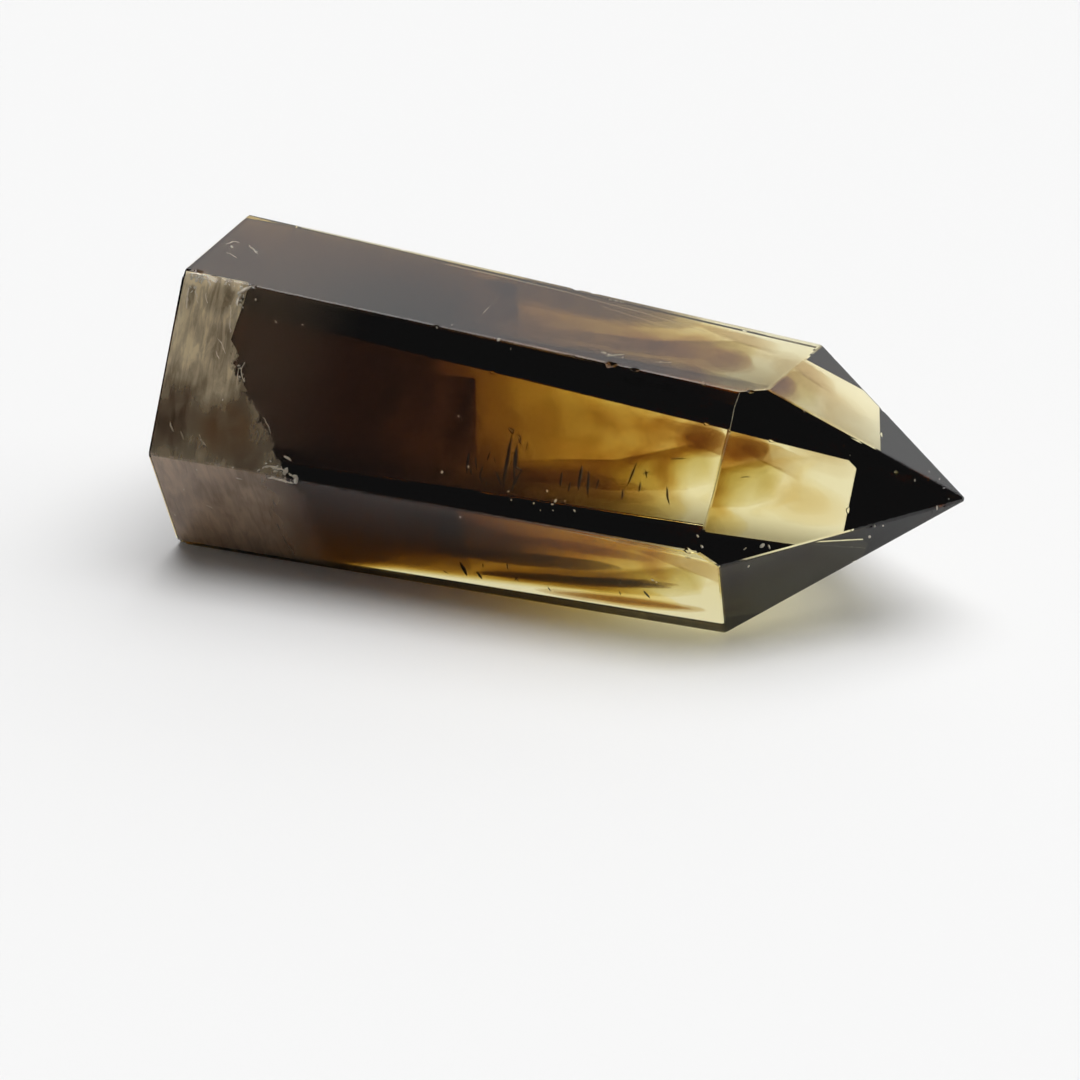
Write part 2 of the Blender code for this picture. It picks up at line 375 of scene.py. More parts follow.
# Thin sheets and small clouds of smoke inside the clear half, and one cloud of painted shade at the back
# foot: middle, half sizes, rise towards the tip in degrees, then the red, green and blue taken out per
# millimetre
SMOKE_WISPS = {
    "lower_streak": ((47.0, 0.0, 4.2), (12.5, 9.5, 0.70), 6.5, (0.125, 0.150, 0.19)),
    "middle_streak": ((42.5, 1.0, 6.5), (11.0, 9.5, 1.15), 5.0, (0.100, 0.115, 0.15)),
    "end_streak": ((53.0, 0.0, 5.3), (6.5, 9.0, 0.50), 7.4, (0.090, 0.110, 0.15)),
    "amber_sheet": ((53.5, 0.0, 2.15), (10.5, 9.0, 0.80), 3.0, (0.034, 0.052, 0.086)),
    "lower_haze": ((45.0, 5.0, 4.4), (10.5, 9.0, 2.0), 6.0, (0.022, 0.032, 0.050)),
    "window_band": ((44.5, 4.0, 15.0), (7.5, 5.0, 1.0), 3.0, (0.020, 0.030, 0.05)),
    "window_border": ((33.4, -4.1, 17.3), (2.4, 7.0, 5.4), 0.0, (0.020, 0.022, 0.027)),
    "window_border_heart": ((34.2, -4.1, 17.3), (1.5, 6.0, 4.4), 0.0, (0.020, 0.022, 0.027)),
    "corner_cloud": ((60.5, 8.0, 14.0), (3.8, 3.0, 1.9), -12.0, (0.085, 0.140, 0.24)),
    "corner_cloud_heart": ((60.6, 8.0, 14.0), (2.9, 2.3, 1.3), -12.0, (0.150, 0.230, 0.39)),
    "back_bank": ((41.5, 12.5, 20.3), (13.6, 4.4, 4.4), 0.0, (0.112, 0.134, 0.165)),
    "back_bank_heart": ((40.4, 12.5, 20.3), (12.3, 3.2, 3.2), 0.0, (0.110, 0.130, 0.16)),
    "arris_bank": ((58.6, -8.2, 28.55), (12.6, 2.8, 1.05), -3.9, (0.300, 0.340, 0.38)),
    # Painted shade: this dark cloud at the back foot stands in for the contact shadow on the floor just
    # behind the crystal
    "painted_back_foot_shade": ((51.5, 12.8, 2.2), (7.0, 2.5, 1.8), 0.0, (0.012, 0.040, 0.150)),
    "tip_cloud": ((69.3, 8.3, 15.8), (6.0, 3.0, 2.1), -31.0, (0.030, 0.045, 0.07)),
    "tip_cloud_heart": ((69.3, 8.3, 15.8), (3.8, 1.8, 1.2), -31.0, (0.040, 0.060, 0.10)),
    "end_cloud": ((66.8, 9.0, 8.4), (6.0, 3.6, 2.5), -14.0, (0.014, 0.026, 0.055)),
    "end_cloud_heart": ((66.8, 9.0, 8.4), (4.0, 2.4, 1.4), -14.0, (0.018, 0.032, 0.070)),
    "amber_sheet_heart": ((53.5, 0.0, 2.15), (8.0, 8.0, 0.45), 3.0, (0.050, 0.078, 0.130)),
    "window_foot": ((48.5, 0.0, 9.7), (9.5, 3.0, 0.9), 0.0, (0.110, 0.155, 0.180)),
    "window_amber": ((43.0, 14.0, 10.6), (6.5, 3.2, 3.0), 0.0, (0.030, 0.042, 0.075)),
}
# How noise bends the wisps out of their round shape: grain per metre, and reach in metres
WISP_GRAIN = 160.0
WISP_STIR = (0.0050, 0.0040, 0.0008)

# Smoke with one sharp border, close to the back facet: ribs across each slab, with the upper and
# lower corner of each rib and how thick the slab is there
SHARP_SMOKE = {
    "left_curtain": ([(((20.4, 19.5, 11.4), 0.05), ((22.3, 14.6, 2.6), 0.05)),
                      (((25.0, 19.7, 11.4), 0.7), ((26.9, 14.7, 2.6), 0.2)),
                      (((29.3, 19.8, 11.4), 2.2), ((31.2, 14.9, 2.6), 0.5))], (0.75, 0.90, 1.00)),
    "upper_corner": ([(((51.3, 19.6, 10.1), 0.4), ((51.5, 19.5, 9.9), 0.4)),
                      (((56.9, 19.5, 10.0), 0.8), ((56.9, 18.5, 8.1), 0.9)),
                      (((59.4, 19.4, 9.8), 0.8), ((59.6, 18.2, 7.4), 0.9)),
                      (((63.0, 19.0, 9.0), 0.05), ((62.6, 17.8, 6.6), 0.05))], (0.45, 0.68, 1.15)),
    "lower_corner": ([(((60.6, 18.3, 7.4), 0.05), ((60.0, 16.2, 4.4), 0.05)),
                      (((57.4, 18.5, 8.1), 1.2), ((56.4, 15.7, 3.2), 0.15)),
                      (((48.1, 16.8, 5.2), 2.1), ((47.5, 15.0, 2.0), 1.5)),
                      (((41.0, 16.3, 4.4), 1.2), ((41.0, 14.9, 1.9), 1.1)),
                      (((32.0, 15.4, 3.0), 0.05), ((33.0, 14.6, 1.4), 0.05))], (0.42, 0.58, 1.35)),
}

# Brush strokes of smoke towards the tip: middle and half sizes of the place where they lie, how
# thin, turned and drawn out the strokes are, how deep they stay under the facets, and the levels
# from faint to strong with what each takes out
STROKE_MIDDLE = (54.0, 9.0, 12.0)
STROKE_HALF = (16.0, 10.5, 8.0)
STROKE_WIDTH = 0.085
STROKE_LIE = (0.35, 0.30, 0.20)
STROKE_GRAIN = (0.045, 0.075, 0.150)
STROKE_DEPTH = 0.3
STROKE_LEVELS = [
    (0.12, (0.010, 0.020, 0.045)),
    (0.34, (0.016, 0.030, 0.065)),
    (0.58, (0.026, 0.044, 0.090)),
]
STROKE_CELLS = (110, 66, 56)

# Needles in the upper front window and along the lower front facet: points along each, and girth
NEEDLES = [
    (((43.6, -13.3, 20.2), (43.9, -14.6, 17.7), (44.9, -14.7, 17.4)), 0.30),
    (((43.4, -13.0, 21.1), (43.9, -12.9, 20.9), (44.0, -13.1, 20.4), (43.6, -13.3, 20.2)), 0.14),
    (((44.8, -13.1, 20.5), (44.8, -13.7, 19.4)), 0.14),
    (((38.5, -15.0, 17.2), (38.9, -15.5, 16.3)), 0.22),
    (((42.7, -14.7, 17.5), (42.8, -15.6, 15.9)), 0.27),
    (((44.1, -15.0, 16.9), (43.9, -15.9, 15.2)), 0.30),
    (((40.5, -15.5, 16.3), (40.9, -15.9, 15.5), (41.4, -15.7, 15.9)), 0.16),
    (((50.6, -14.6, 17.2), (50.5, -15.3, 16.0)), 0.24),
    (((52.5, -13.9, 18.5), (52.7, -14.5, 17.3), (52.9, -15.2, 15.9)), 0.32),
    (((56.9, -14.4, 17.2), (56.9, -15.1, 16.0)), 0.22),
    (((59.0, -13.2, 19.3), (59.4, -13.6, 18.5)), 0.19),
    (((58.8, -13.5, 18.9), (59.6, -13.3, 19.2)), 0.16),
    (((58.7, -13.9, 18.1), (58.8, -14.5, 17.0)), 0.19),
    (((61.9, -13.8, 18.0), (62.1, -14.3, 17.0), (62.5, -14.7, 16.2)), 0.24),
    (((54.2, -11.2, 23.5), (54.5, -11.3, 23.3)), 0.22),
    (((54.5, -11.4, 23.1), (54.9, -11.5, 23.0)), 0.19),
    (((56.0, -12.0, 22.0), (56.3, -12.1, 21.7)), 0.16),
    (((61.7, -12.4, 20.7), (63.6, -12.2, 21.0)), 0.09),
    (((69.2, -11.4, 19.4), (70.1, -10.6, 19.3)), 0.09),
    (((36.3, -12.6, 22.1), (36.6, -12.9, 21.5)), 0.19),
    (((41.1, -14.2, 18.6), (41.5, -14.6, 17.8)), 0.14),
    (((36.1, -12.2, 4.8), (36.4, -11.6, 3.6), (36.5, -11.0, 2.5)), 0.48),
    (((37.9, -11.6, 3.6), (38.4, -11.0, 2.4)), 0.36),
    (((42.2, -12.8, 5.9), (42.1, -12.2, 4.7)), 0.22),
    (((42.6, -11.8, 4.0), (43.1, -11.2, 2.9)), 0.16),
    (((43.2, -11.8, 3.9), (42.5, -11.3, 3.0)), 0.16),
    (((33.5, -11.2, 2.8), (34.2, -10.9, 2.3)), 0.19),
    (((46.6, -11.3, 3.0), (46.8, -10.8, 2.2)), 0.19),
    (((48.7, -11.7, 3.8), (49.1, -11.5, 3.4)), 0.16),
    (((58.7, -12.3, 5.0), (59.3, -11.6, 3.8)), 0.30),
    (((55.6, -11.9, 4.3), (55.7, -11.5, 3.5)), 0.14),
    (((39.1, -12.5, 5.2), (38.9, -12.0, 4.4)), 0.16),
    (((56.2, -13.1, 6.4), (56.0, -12.5, 5.4)), 0.14),
    (((42.8, -13.0, 20.9), (42.8, -13.9, 19.2), (42.8, -14.9, 17.1), (42.9, -15.8, 15.4)), 0.40),
    (((43.5, -13.6, 19.7), (43.7, -14.6, 17.7), (44.0, -15.3, 16.3)), 0.28),
    (((41.6, -14.9, 17.2), (42.6, -15.7, 15.6)), 0.30),
    (((40.1, -14.8, 17.6), (39.8, -15.4, 16.4), (40.3, -15.8, 15.6)), 0.26),
    (((40.6, -14.0, 19.0), (40.4, -14.6, 18.0)), 0.22),
    (((44.6, -14.5, 17.8), (44.1, -15.6, 15.8)), 0.24),
    (((49.4, -14.2, 18.0), (49.5, -15.1, 16.3)), 0.26),
    (((51.6, -13.7, 19.0), (51.7, -15.1, 16.3)), 0.36),
    (((57.9, -13.0, 19.9), (57.3, -14.3, 17.4)), 0.24),
    (((53.9, -14.2, 17.9), (53.7, -14.8, 16.6)), 0.22),
    (((38.1, -14.3, 18.6), (38.3, -15.5, 16.4)), 0.30),
    (((42.2, -12.6, 21.6), (42.9, -12.9, 21.0), (43.0, -12.7, 21.5), (42.3, -12.6, 21.7)), 0.20),
    (((43.5, -13.0, 20.8), (44.2, -13.4, 20.0)), 0.16),
    (((38.9, -14.4, 18.4), (39.4, -15.2, 16.9)), 0.20),
]

# Length, thickness and breadth of a fleck, as shares of its width
FLECK_SHAPE = (1.0, 0.30, 0.62)
# Pale flecks just under the polish: place and width
FLECKS = [
    ((43.9, -17.2, 15.9), 0.35), ((47.1, -17.5, 15.1), 0.30), ((48.4, -16.7, 16.5), 0.35),
    ((49.5, -17.7, 14.7), 0.30), ((50.7, -17.1, 15.8), 0.25), ((36.5, -13.9, 22.7), 0.30),
    ((38.7, -16.4, 17.8), 0.35), ((90.1, 1.0, 14.9), 0.25), ((88.8, 0.4, 14.0), 0.30),
    ((83.2, -4.8, 13.0), 0.35), ((83.8, -3.8, 12.9), 0.30), ((71.6, -14.5, 10.3), 0.40),
    ((49.6, -17.2, 15.7), 0.50), ((49.3, -17.4, 15.3), 0.35), ((35.7, -17.0, 16.9), 0.40),
    ((44.4, -17.6, 15.1), 0.40), ((48.0, -17.8, 14.5), 0.30), ((52.0, -17.5, 15.0), 0.35),
    ((38.4, -18.2, 12.5), 0.35), ((51.7, -7.3, 29.7), 0.55), ((52.8, -7.3, 29.6), 0.60),
    ((53.8, -7.4, 29.5), 0.45), ((58.0, -6.6, 29.3), 0.50), ((59.0, -6.1, 29.2), 0.50),
    ((2.4, -0.8, 33.3), 0.70), ((5.5, -0.7, 33.1), 0.70), ((60.6, -15.2, 7.1), 0.45),
    ((82.4, -4.3, 11.5), 0.50), ((61.0, -14.9, 6.8), 0.25), ((66.8, -17.7, 14.4), 0.45),
    ((67.4, -18.1, 13.4), 0.60), ((71.4, -15.1, 12.5), 0.45), ((73.0, -13.8, 12.6), 0.70),
    ((73.7, -13.4, 12.4), 0.60), ((32.2, -9.9, 31.4), 0.40), ((39.8, -9.9, 31.0), 0.45),
    ((41.4, -10.2, 30.3), 0.30), ((33.6, -8.8, 31.3), 0.25), ((64.2, -9.4, 29.2), 0.40),
    ((9.9, -10.5, 31.8), 0.30), ((12.8, -11.4, 29.8), 0.35), ((16.1, -11.3, 29.9), 0.25),
    ((6.1, -18.4, 16.8), 0.40), ((8.0, -16.1, 21.2), 0.35), ((5.8, -19.0, 13.4), 0.30),
    ((10.6, -19.5, 14.5), 0.30), ((3.1, -17.0, 9.6), 0.30), ((0.6, -14.5, 4.9), 0.30),
    ((13.8, -19.3, 14.6), 0.45), ((87.5, 1.4, 17.6), 0.25), ((88.7, 1.6, 16.8), 0.25),
    ((86.6, -0.8, 17.4), 0.25), ((80.0, -4.4, 20.9), 0.20),
]

# Edge of the milky veil at the base, from the top arris down: each place is given on its facet
VEIL_TOP_EDGE = [
    ((0.75, -9.9, 33.85), (8.7, -9.7, 33.45)),
    ((0.70, -11.0, 31.9), (8.5, -11.0, 31.4)),
    ((0.65, -12.1, 29.9), (8.1, -12.0, 29.6)),
    ((0.55, -13.1, 27.9), (7.7, -13.1, 27.5)),
    ((0.50, -14.4, 25.6), (10.3, -14.4, 24.9)),
    ((0.45, -15.3, 23.8), (10.2, -15.3, 23.1)),
    ((0.40, -16.8, 21.0), (13.1, -16.7, 20.3)),
    ((0.35, -18.0, 18.6), (15.4, -17.8, 18.0)),
    ((0.30, -19.1, 16.5), (16.8, -18.9, 15.9)),
    ((0.25, -20.0, 14.7), (18.2, -19.6, 14.4)),
]
VEIL_LOW_EDGE = [
    ((0.25, -19.8, 14.6), (18.4, -19.5, 14.1)),
    ((0.20, -18.0, 11.2), (20.6, -18.0, 11.0)),
    ((0.10, -16.4, 8.2), (22.4, -16.4, 7.9)),
    ((0.05, -14.8, 5.1), (22.0, -14.8, 5.0)),
    ((0.00, -13.4, 2.5), (21.6, -13.4, 2.5)),
    ((-0.05, -12.3, 0.45), (21.4, -12.3, 0.45)),
]
# Painted shade: a thin dark film just above the resting facet stands in for the contact shadow under and
# behind the crystal, and only shows along the facet's own level
PAINTED_FOOT_SHADE = ((0.3, -11.3, 0.06), (67.0, 11.9, 0.30))
PAINTED_FOOT_SHADE_TAKEN = (0.40, 0.43, 0.48)

# Veil's broken rim: stretches of its edge, with the girth of the pale shards along each
RIDGES = [
    (((7.6, -10.5, 32.1), (8.3, -10.2, 32.7), (9.1, -10.0, 33.0)), 0.42),
    (((7.7, -10.6, 31.9), (7.9, -11.1, 30.9)), 0.34),
    (((7.0, -11.1, 30.9), (7.3, -11.8, 29.6), (7.6, -12.6, 28.1)), 0.13),
    (((9.9, -14.0, 25.3), (9.7, -14.5, 24.3), (10.1, -14.9, 23.5)), 0.16),
    (((9.1, -14.3, 24.6), (9.5, -15.0, 23.4)), 0.12),
    (((13.2, -16.6, 20.0), (14.6, -17.3, 18.5)), 0.07),
    (((14.3, -19.3, 14.7), (15.4, -19.0, 15.2), (17.0, -19.1, 14.8)), 0.24),
    (((15.0, -19.3, 14.0), (16.5, -19.2, 13.9), (18.1, -19.1, 13.7)), 0.30),
    (((16.6, -18.4, 16.3), (17.5, -18.6, 16.0)), 0.22),
    (((1.5, -10.7, 32.1), (1.6, -11.4, 30.8), (1.8, -11.8, 30.0)), 0.20),
    (((2.4, -10.5, 32.4), (2.9, -11.4, 30.7)), 0.18),
    (((3.6, -10.7, 31.9), (4.1, -11.3, 30.7)), 0.12),
    (((0.9, -10.3, 33.0), (1.2, -9.8, 33.5), (2.2, -9.6, 33.55), (3.4, -9.7, 33.4), (4.0, -10.1, 32.7),
      (3.9, -10.6, 31.7)), 0.26),
    (((1.7, -0.8, 33.75), (2.0, 0.3, 33.75), (2.9, 0.5, 33.65)), 0.16),
    (((2.6, -2.6, 33.65), (4.3, -3.6, 33.45)), 0.12),
    (((4.2, 0.2, 33.6), (5.2, -0.6, 33.5), (6.0, -1.4, 33.4)), 0.20),
    (((2.2, -17.9, 18.2), (2.6, -18.4, 17.3)), 0.13),
    (((3.5, -18.3, 17.3), (3.9, -18.6, 16.7)), 0.12),
    (((5.9, -18.2, 17.3), (6.5, -18.5, 16.8), (7.0, -18.8, 16.2)), 0.10),
    (((6.1, -13.1, 27.3), (6.8, -13.3, 26.7), (7.5, -13.6, 26.0)), 0.12),
    (((6.1, -13.7, 26.1), (6.8, -14.1, 25.1)), 0.10),
    (((5.3, -16.0, 7.6), (6.1, -15.8, 7.1)), 0.10),
    (((10.6, -18.9, 13.1), (11.6, -18.8, 13.0)), 0.16),
]
# Pale threads that paint highlights along arrises: between the upper front facet and the tip, near the top
# facet's back arris, and short glints on the top facet
PAINTED_ARRIS_HIGHLIGHTS = [
    (((67.25, -17.35, 15.1), (67.75, -15.15, 19.2), (68.05, -13.45, 22.4), (68.35, -11.95, 25.2)), 0.06),
    (((68.35, -11.95, 25.2), (68.5, -10.7, 27.7), (68.75, -9.95, 29.0)), 0.07),
    (((26.4, 6.4, 32.1), (33.3, 6.3, 31.6), (42.5, 5.8, 31.0)), 0.16),
    (((42.5, 5.8, 31.0), (45.3, 5.3, 30.8), (51.3, 4.8, 30.3), (60.1, 3.3, 29.7)), 0.10),
    (((46.7, 4.1, 30.7), (58.5, 1.9, 29.8)), 0.07),
    (((61.7, 6.2, 29.7), (70.5, 5.3, 29.1)), 0.07),
    (((35.5, -4.1, 31.3), (35.5, -2.3, 31.3)), 0.10),
    (((52.2, -8.2, 30.0), (53.8, -6.9, 29.95)), 0.26),
    (((57.6, -7.1, 29.7), (59.1, -6.5, 29.6)), 0.16),
]
# Shards crushed along the veil's rim and the bruised corner: stretch, number, spread and sizes
SHARD_STRETCHES = [
    ((7.8, -10.3, 32.5), (8.2, -11.2, 30.9), 18, 0.35, (0.25, 0.80)),
    ((1.2, -9.8, 33.3), (3.2, -10.2, 33.0), 26, 0.50, (0.30, 0.95)),
    ((1.4, -10.6, 32.0), (2.8, -11.2, 31.2), 10, 0.50, (0.25, 0.80)),
    ((3.4, -10.0, 33.1), (8.4, -10.0, 33.0), 12, 0.22, (0.20, 0.45)),
    ((14.6, -18.8, 15.6), (18.6, -18.8, 13.9), 26, 0.40, (0.25, 0.90)),
    ((9.0, -14.0, 25.0), (10.2, -14.8, 23.4), 8, 0.30, (0.20, 0.45)),
    ((51.0, -7.4, 29.8), (54.2, -7.6, 29.5), 10, 0.25, (0.20, 0.55)),
    ((46.0, 8.0, 30.3), (48.5, 7.8, 30.1), 8, 0.20, (0.20, 0.50)),
]
# Soft spots of the veil, and one spot of painted shade: middle, half sizes, and how much paler they are,
# or darker
VEIL_SPOTS_AND_SHADE = [
    ((2.3, -9.9, 33.3), (2.1, 2.4, 1.3), 0.70),
    # Painted shade: darker under the top front arris, where shade falls on the veil
    ((5.7, -10.9, 31.4), (2.3, 3.0, 2.8), -0.50),
    ((1.9, -10.9, 31.3), (0.7, 2.0, 1.9), -0.55),
    ((6.6, -13.3, 27.0), (1.7, 3.0, 3.6), -0.22),
    ((2.4, -18.4, 17.6), (2.6, 3.5, 3.0), -0.20),
    ((12.6, -17.0, 19.6), (2.6, 3.5, 4.0), 0.22),
    ((3.4, -14.6, 25.0), (2.6, 3.5, 4.0), 0.16),
    ((13.5, -18.0, 10.6), (4.0, 3.5, 2.2), 0.25),
]
RUST_SPOT = ((9.0, -17.6, 18.2), (5.2, 4.5, 4.2))
# Height at which the veil turns from brown to milky, before its clouds bend it; the paler top is partly
# painted light falling from above
VEIL_STEP = (22.5, 27.5)
# Ragged rim: below which height it leans out, how far it is from the base above that, and its lean
RIM_TURN = 25.0
RIM_PLACE = 8.6
RIM_LEAN = 0.83
# Faint haze that goes on beyond the veil
HAZE_EDGE = [
    ((7.0, -10.0, 33.0), (24.0, -10.0, 32.0)),
    ((7.0, -12.2, 29.2), (24.0, -11.8, 28.8)),
    ((8.5, -14.2, 25.4), (24.0, -13.8, 25.0)),
    ((11.5, -16.2, 21.4), (24.0, -15.8, 21.2)),
    ((15.5, -18.2, 17.4), (24.0, -18.0, 17.2)),
]
HAZE_DEPTH = 0.75
TOP_HAZE_EDGE = [
    ((0.8, 7.8, 34.05), (30.0, 6.8, 32.02)),
    ((0.8, 4.0, 33.95), (30.0, 4.0, 31.98)),
    ((0.8, -3.0, 33.8), (30.0, -3.0, 31.85)),
    ((0.8, -9.2, 33.7), (30.0, -9.2, 31.73)),
]
VEIL_DEPTH = 0.35
VEIL_THICKNESS = 0.10
VEIL_RIPPLE = 0.3
# Colours of each film, how much it covers below and above the step, where it fades out along the
# crystal, how far past the rim it goes on, and how ragged the rim makes it
VEIL_KINDS = {
    "milky_veil": {
        "pale": (1.0, 0.86, 0.60), "dark": (0.20, 0.115, 0.055), "rust": (0.30, 0.15, 0.04),
        "cover": (0.42, 0.84), "fade": (40.0, 41.0), "beyond": 0.0, "ragged": 4.0,
    },
    "milky_veil_low": {
        "pale": (0.98, 0.76, 0.57), "dark": (0.46, 0.33, 0.23), "rust": (0.36, 0.24, 0.12),
        "cover": (0.70, 0.76), "fade": (9.0, 21.0), "beyond": 0.0, "ragged": 6.0,
    },
    "veil_haze": {
        "pale": (0.30, 0.22, 0.15), "dark": (0.22, 0.15, 0.10), "rust": (0.22, 0.15, 0.10),
        "cover": (0.20, 0.20), "fade": (9.0, 24.0), "beyond": 100.0, "ragged": 0.0,
    },
    "top_haze": {
        "pale": (0.42, 0.28, 0.18), "dark": (0.16, 0.09, 0.05), "rust": (0.3, 0.2, 0.1),
        "cover": (0.14, 0.14), "fade": (2.0, 30.0), "beyond": 100.0, "ragged": 0.0,
    },
}
TOP = Vector(SMOKE_SIDES["top"][0])
UPPER_FRONT = Vector(SMOKE_SIDES["upper_front"][0])
LOWER_FRONT = Vector(SMOKE_SIDES["lower_front"][0])


def under_facets(g, place, field, depth_under):
    """A field that also falls off towards each facet, by the depth that a function gives."""
    for outward, reach, near, full in SMOKE_SIDES.values():
        out = g.vector("DOT_PRODUCT", place, outward)
        field = g.math("MINIMUM", field, depth_under(out, reach, near, full))
    return field


def smoke_plan():
    tree = tree_with("smoke zone", ("Level", "Float"), ("Seed", "Float"), ("Finish", "Material"))
    g = Plan(tree)
    given = g.node("NodeGroupInput")
    place = g.place()
    x, y, z = g.parts(place)
    drawn = g.vector("MULTIPLY", place, SMOKE_GRAIN)
    wisp = g.math("SUBTRACT", g.slow_noise(drawn, given.outputs["Seed"], 2.5)[0], 0.5)
    low = g.math("DIVIDE", g.math("SUBTRACT", z, BANK_HEIGHT), BANK_SPREAD)
    bank = g.math("EXPONENT", g.math("MULTIPLY", g.math("MULTIPLY", low, low), -1.0))
    bank = g.math("MULTIPLY", bank, g.span(y, *BANK_BACK, 1.0, 0.0))
    run = g.math("ADD", x, g.math("MULTIPLY", wisp, SMOKE_STIR))
    end = g.math("SUBTRACT", SMOKE_END, g.math("MULTIPLY", bank, BANK_SHORTER))
    end = g.math("SUBTRACT", end, g.span(z, *UNDER_BANK_HEIGHTS, UNDER_BANK, 0.0))
    length = g.math("SUBTRACT", SMOKE_LENGTH, g.math("MULTIPLY", bank, BANK_STEEPER))
    field = g.math("DIVIDE", g.math("SUBTRACT", end, run), length)
    rim = g.span(x, RIM_START, RIM_END, RIM_NONE, RIM_HEIGHT)
    rise = g.math("MULTIPLY", g.math("MAXIMUM", g.math("SUBTRACT", x, RIM_END), 0.0), RIM_RISE)
    above = g.math("SUBTRACT", g.math("SUBTRACT", z, rim), rise)
    field = g.math("MINIMUM", field, g.math("DIVIDE", above, RIM_SOFT))

    def share_in(out, reach, near, full):
        return g.math("DIVIDE", g.math("SUBTRACT", reach - near, out), full - near)

    field = under_facets(g, place, field, share_in)
    field = g.math("MINIMUM", g.math("MAXIMUM", field, -1.0), 1.0)
    skin = g.skin(field, cad_box, SMOKE_CELLS, given.outputs["Level"], 0.05)
    g.finish(skin, given.outputs["Finish"])
    return tree


def smoke_and_shade_finish(name, taken):
    """Smoke, and painted shade, with no surface of its own, which takes out so much per millimetre."""
    material = bpy.data.materials.new(name)
    material.use_nodes = True
    w = Wires(material.node_tree)
    skin = w.node("ShaderNodeBsdfTransparent")
    out = w.node("ShaderNodeOutputMaterial")
    w.plug(skin.outputs[0], out.inputs["Surface"])
    w.plug(absorb(w, tuple(v / MM for v in taken)), out.inputs["Volume"])
    return material


def tree_with(name, *inputs):
    """A geometry tree that takes a start shape and the named inputs."""
    tree = bpy.data.node_groups.new(name, "GeometryNodeTree")
    tree.interface.new_socket("Geometry", in_out="INPUT", socket_type="NodeSocketGeometry")
    for label, kind in inputs:
        tree.interface.new_socket(label, in_out="INPUT", socket_type="NodeSocket" + kind)
    tree.interface.new_socket("Geometry", in_out="OUTPUT", socket_type="NodeSocketGeometry")
    return tree


def placed(name, mesh):
    piece = bpy.data.objects.new(name, mesh)
    bpy.context.scene.collection.objects.link(piece)
    return piece


def inside_stone(piece):
    """Fix a piece in the crystal, in the crystal's own slot."""
    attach(piece, "root")


def grown(name, tree, settings, start=None):
    """The plain mesh that a geometry tree gives, as a piece in the stone."""
    carrier = placed(name + "_plan", start or bpy.data.meshes.new(name + "_plan"))
    modifier = carrier.modifiers.new("plan", "NODES")
    modifier.node_group = tree
    for item in tree.interface.items_tree:
        if item.item_type == "SOCKET" and item.in_out == "INPUT" and item.name in settings:
            modifier[item.identifier] = settings[item.name]
    carrier.update_tag()
    shaped = carrier.evaluated_get(bpy.context.evaluated_depsgraph_get())
    mesh = bpy.data.meshes.new_from_object(shaped)
    bpy.data.objects.remove(carrier, do_unlink=True)
    mesh.name = name
    inside_stone(placed(name, mesh))


def smoke():
    tree = smoke_plan()
    for number, (level, taken) in enumerate(SMOKE_ZONES, start=1):
        name = f"smoke_zone_{number}"
        settings = {"Level": level, "Seed": 0.0, "Finish": smoke_and_shade_finish(name, taken)}
        grown(name, tree, settings)


def wisp_plan():
    tree = tree_with(
        "smoke wisp", ("Middle", "Vector"), ("Half Size", "Vector"), ("Turn", "Vector"),
        ("Seed", "Float"), ("Finish", "Material"),
    )
    g = Plan(tree)
    given = g.node("NodeGroupInput")
    ball = g.node("GeometryNodeMeshIcoSphere")
    ball.inputs["Radius"].default_value = 1.0
    ball.inputs["Subdivisions"].default_value = 5
    move = g.node("GeometryNodeTransform")
    g.plug(ball.outputs[0], move.inputs["Geometry"])
    g.plug(given.outputs["Middle"], move.inputs["Translation"])
    g.plug(given.outputs["Turn"], move.inputs["Rotation"])
    g.plug(given.outputs["Half Size"], move.inputs["Scale"])
    push = g.push(1.0, WISP_GRAIN, given.outputs["Seed"])
    stirred = g.moved(move.outputs[0], g.vector("MULTIPLY", push, WISP_STIR))
    g.finish(stirred, given.outputs["Finish"])
    return tree


def wisps():
    tree = wisp_plan()
    for number, (name, (middle, half, rise, taken)) in enumerate(SMOKE_WISPS.items()):
        settings = {
            "Middle": at(middle),
            "Half Size": Vector(half) * MM,
            "Turn": Vector((0.0, -math.radians(rise), 0.0)),
            "Seed": number * 3.7,
            "Finish": smoke_and_shade_finish(name, taken),
        }
        grown("wisp_" + name, tree, settings)


def stroke_plan():
    tree = tree_with("brush strokes", ("Level", "Float"), ("Seed", "Float"), ("Finish", "Material"))
    g = Plan(tree)
    given = g.node("NodeGroupInput")
    place = g.place()
    inside = g.vector("DIVIDE", g.vector("SUBTRACT", place, STROKE_MIDDLE), STROKE_HALF)
    spread = g.vector("DOT_PRODUCT", inside, inside)
    lie = g.node("ShaderNodeVectorRotate", rotation_type="EULER_XYZ")
    g.plug(place, lie.inputs["Vector"])
    lie.inputs["Rotation"].default_value = STROKE_LIE
    drawn = g.vector("MULTIPLY", lie.outputs[0], STROKE_GRAIN)
    slow = g.slow_noise(drawn, given.outputs["Seed"], 2.0, 0.7)[0]
    fold = g.math("ABSOLUTE", g.math("SUBTRACT", slow, 0.5))
    stroke = g.math("SUBTRACT", 1.0, g.math("DIVIDE", fold, STROKE_WIDTH))
    field = g.math("SUBTRACT", stroke, g.math("MULTIPLY", spread, 0.9))

    def depth_in(out, reach, near, full):
        return g.math("SUBTRACT", reach - STROKE_DEPTH, out)

    field = g.math("MAXIMUM", under_facets(g, place, field, depth_in), -1.0)
    middle = Vector(STROKE_MIDDLE)
    half = Vector(STROKE_HALF)
    corners = (at(middle - half), at(middle + half))
    skin = g.skin(field, corners, STROKE_CELLS, given.outputs["Level"], 0.1)
    g.finish(skin, given.outputs["Finish"])
    return tree


